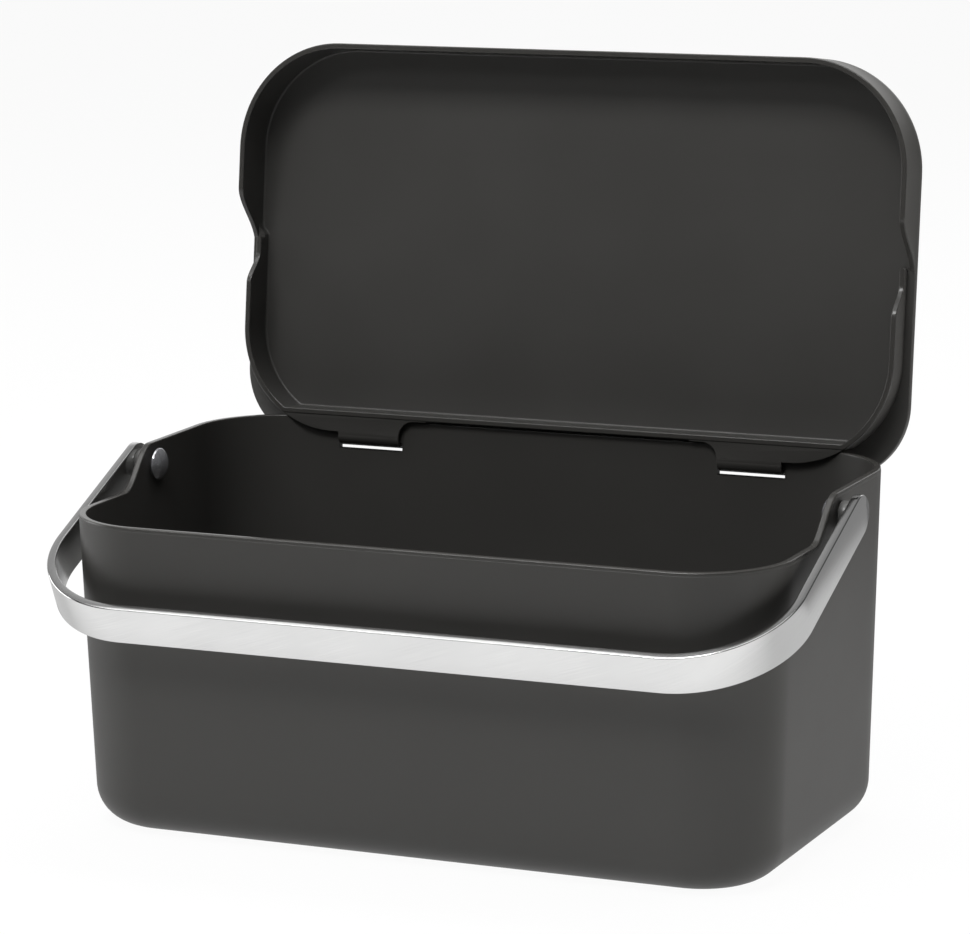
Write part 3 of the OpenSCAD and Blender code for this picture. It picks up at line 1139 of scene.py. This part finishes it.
onPivot = pivotTree()
kinds = [("capNut", "cap_nut", nutProfile, nutChrome, "nut_chrome"),
         ("spacerBush", "spacer_bush", bushProfile, bushPlastic, "bush_plastic"),
         ("pivotStud", "pivot_stud", studProfile, studSteel, "stud_steel")]
for name, node, profile, material, slotName in kinds:
    for side, word in ((-1.0, "Left"), (1.0, "Right")):
        lathe = makePiece("lathe", turned(profile(pivotSize), pivotSize["steps"]), material)
        piece = growPiece(name + word, onPivot, {**pivotPlace, "Side": side}, material, lathe.data)
        bpy.data.objects.remove(lathe)
        hangOn(piece, "handle", node + "_" + word.lower())
print("pivots made")


# studio

lamps = {
    "highFront": {"spot": (-0.1, -0.95, 1.6), "size": (1.0, 0.5), "power": 19.0},
    "lowFront": {"spot": (-0.7, -1.15, 1.0), "size": (0.4, 0.3), "power": 1.5},
    "upperLeft": {"spot": (-0.75, -0.3, 1.5), "size": (0.5, 0.5), "power": 2.5},
    "top": {"spot": (0, 0, 1.7), "size": (1.2, 0.8), "power": 5.0},
    "nearTop": {"spot": (-0.34, 0.13, 0.8), "size": (0.3, 0.3), "power": 0.25,
                "aim": (-0.2, 0, 0.1)},
    "left": {"spot": (-1.5, -0.1, 0.5), "size": (0.9, 0.8), "power": 6.0},
    "right": {"spot": (1.2, 0.8, 0.35), "size": (0.6, 0.3), "power": 13.0,
              "aim": (0, 0, 0.15), "mirrored": False},
    "topBack": {"spot": (0, 0.6, 1.5), "size": (1.4, 0.6), "power": 18.0, "mirrored": False},
    "back": {"spot": (0, 1.8, 0.9), "size": (1.6, 0.8), "power": 3.0},
}
floorLook = {
    "half": 4.0,
    "drop": 0.0002,  # just under the bin's base
    "paint": ((0.84, 0.84, 0.84, 1), (0.86, 0.86, 0.86, 1)),
    "mottleScale": 3.0,
    "seen": 0.95,  # the rest of what the camera sees is paint, which holds the shadow
    "front": 0.98,  # brightness that gloss mirrors, before and behind the bin
    "back": 0.62,
    "frontEdge": (0.55, 3.7),  # each pair: a level at the middle, its change per metre
    "frontFall": (1.25, 1.3),
    "backEdge": (1.2, 5.0),
    "backFall": (1.3, 2.1),
    "backLeast": 0.25,
}
skyLook = {
    "light": 0.03,
    "front": 0.06,  # brightness that gloss mirrors, as for the floor
    "back": 1.0,
    "backStart": 0.2,
    "backSlope": 1.6,
    "sideStart": 0.5,
    "heightFall": 0.55,
}
camera = {
    "azimuth": 24.3893,
    "elevation": 11.0222,
    "roll": -0.81,
    "targetX": -3.7257,
    "targetZ": 127.3041,
    "distance": 1541.6801,
    "focal": 4363.9357,
    "centreX": 467.8963,
    "centreY": 466.1571,
    "sensor": 36.0,
    "farthest": 20.0,
}
picture = (970, 934)


def makeFloor(look):
    material, bench = newMaterial("paleFloor")
    spot = bench.add("ShaderNodeTexCoord", None, None, "Object")
    y = bench.add("ShaderNodeSeparateXYZ", None, {"Vector": spot}, "Y")
    mottle = bench.add("ShaderNodeTexNoise", None, {"Vector": spot, "Scale": look["mottleScale"]})
    matte = bench.add("ShaderNodeBsdfDiffuse", None,
                      {"Color": bench.between(*look["paint"], mottle)})
    rays = bench.add("ShaderNodeLightPath", None, None, "Is Camera Ray")
    level, slope = look["frontEdge"]
    fallLevel, fallSlope = look["frontFall"]
    forward = (level - y * slope).clamped() * (fallLevel + y * fallSlope).clamped()
    level, slope = look["backEdge"]
    fallLevel, fallSlope = look["backFall"]
    backward = (fallLevel - y * fallSlope).atLeast(look["backLeast"]).atMost(look["back"])
    backward = backward * (y * slope + level).clamped()
    mirrored = (forward * look["front"]).atLeast(backward)
    glow = bench.add("ShaderNodeEmission", None,
                     {"Color": mirrored.atLeast(rays), "Strength": 1.0})
    seen = (rays * look["seen"]).atLeast(rays.other("Is Glossy Ray"))
    shader = bench.add("ShaderNodeMixShader", None, {"Fac": seen, 1: matte, 2: glow})
    closeMaterial(bench, shader)
    mesh = bpy.data.meshes.new("floor")
    corners = [(x * look["half"], y * look["half"], -look["drop"])
               for x, y in ((-1, -1), (1, -1), (1, 1), (-1, 1))]
    mesh.from_pydata(corners, [], [(0, 1, 2, 3)])
    mesh.materials.append(material)
    floor = bpy.data.objects.new("floor", mesh)
    bpy.context.scene.collection.objects.link(floor)


def makeWorld(look):  # a dim room with a light card behind the bin
    world = bpy.data.worlds.new("studio")
    world.use_nodes = True
    world.node_tree.nodes.clear()
    bench = Bench(world.node_tree)
    rays = bench.add("ShaderNodeLightPath", None, None, "Is Camera Ray")
    mirrored = rays.other("Is Glossy Ray").atLeast(rays.other("Is Transmission Ray"))
    way = bench.add("ShaderNodeTexCoord", None, None, "Generated")
    parts = bench.add("ShaderNodeSeparateXYZ", None, {"Vector": way})
    behind = (parts.other("Y") * look["backSlope"] - look["backStart"]).clamped()
    behind = behind * (look["sideStart"] - parts).clamped()
    behind = behind * (1 - parts.other("Z") * look["heightFall"]).atMost(1)
    shown = behind * (look["back"] - look["front"]) + look["front"]
    strength = (mirrored * (shown - look["light"]) + look["light"]).atLeast(rays)
    sky = bench.add("ShaderNodeBackground", None, {"Color": strength, "Strength": 1.0})
    bench.add("ShaderNodeOutputWorld", None, {"Surface": sky})
    bpy.context.scene.world = world


def addLamp(name, spot, size, power, aim=(0, 0, 0.1), mirrored=True):
    lamp = bpy.data.lights.new(name, "AREA")
    lamp.shape = "RECTANGLE"
    lamp.size, lamp.size_y = size
    lamp.energy = power
    holder = bpy.data.objects.new(name, lamp)
    bpy.context.scene.collection.objects.link(holder)
    holder.location = spot
    holder.visible_glossy = mirrored
    holder.rotation_euler = (Vector(aim) - Vector(spot)).to_track_quat("-Z", "Y").to_euler()


def makeCamera():
    az, el, roll = (math.radians(camera[k]) for k in ("azimuth", "elevation", "roll"))
    forward = Vector((-math.sin(az) * math.cos(el), math.cos(az) * math.cos(el), -math.sin(el)))
    level = Vector((math.cos(az), math.sin(az), 0))
    upright = level.cross(forward)
    right = math.cos(roll) * level + math.sin(roll) * upright
    up = -math.sin(roll) * level + math.cos(roll) * upright
    eye = Vector((camera["targetX"], 0, camera["targetZ"])) - forward * camera["distance"]
    lens = bpy.data.cameras.new("camera")
    lens.sensor_width = camera["sensor"]
    lens.lens = camera["focal"] / picture[0] * camera["sensor"]
    lens.shift_x = (picture[0] / 2 - camera["centreX"]) / picture[0]
    lens.shift_y = (camera["centreY"] - picture[1] / 2) / picture[0]
    lens.clip_end = camera["farthest"]
    holder = bpy.data.objects.new("camera", lens)
    turn = Matrix((right, up, -forward)).transposed().to_4x4()
    holder.matrix_world = Matrix.Translation(eye * mm) @ turn
    bpy.context.scene.collection.objects.link(holder)
    bpy.context.scene.camera = holder


makeFloor(floorLook)
makeWorld(skyLook)
for name, lamp in lamps.items():
    addLamp(name, **lamp)
makeCamera()
bpy.context.scene.view_settings.view_transform = "Standard"
print("studio made")
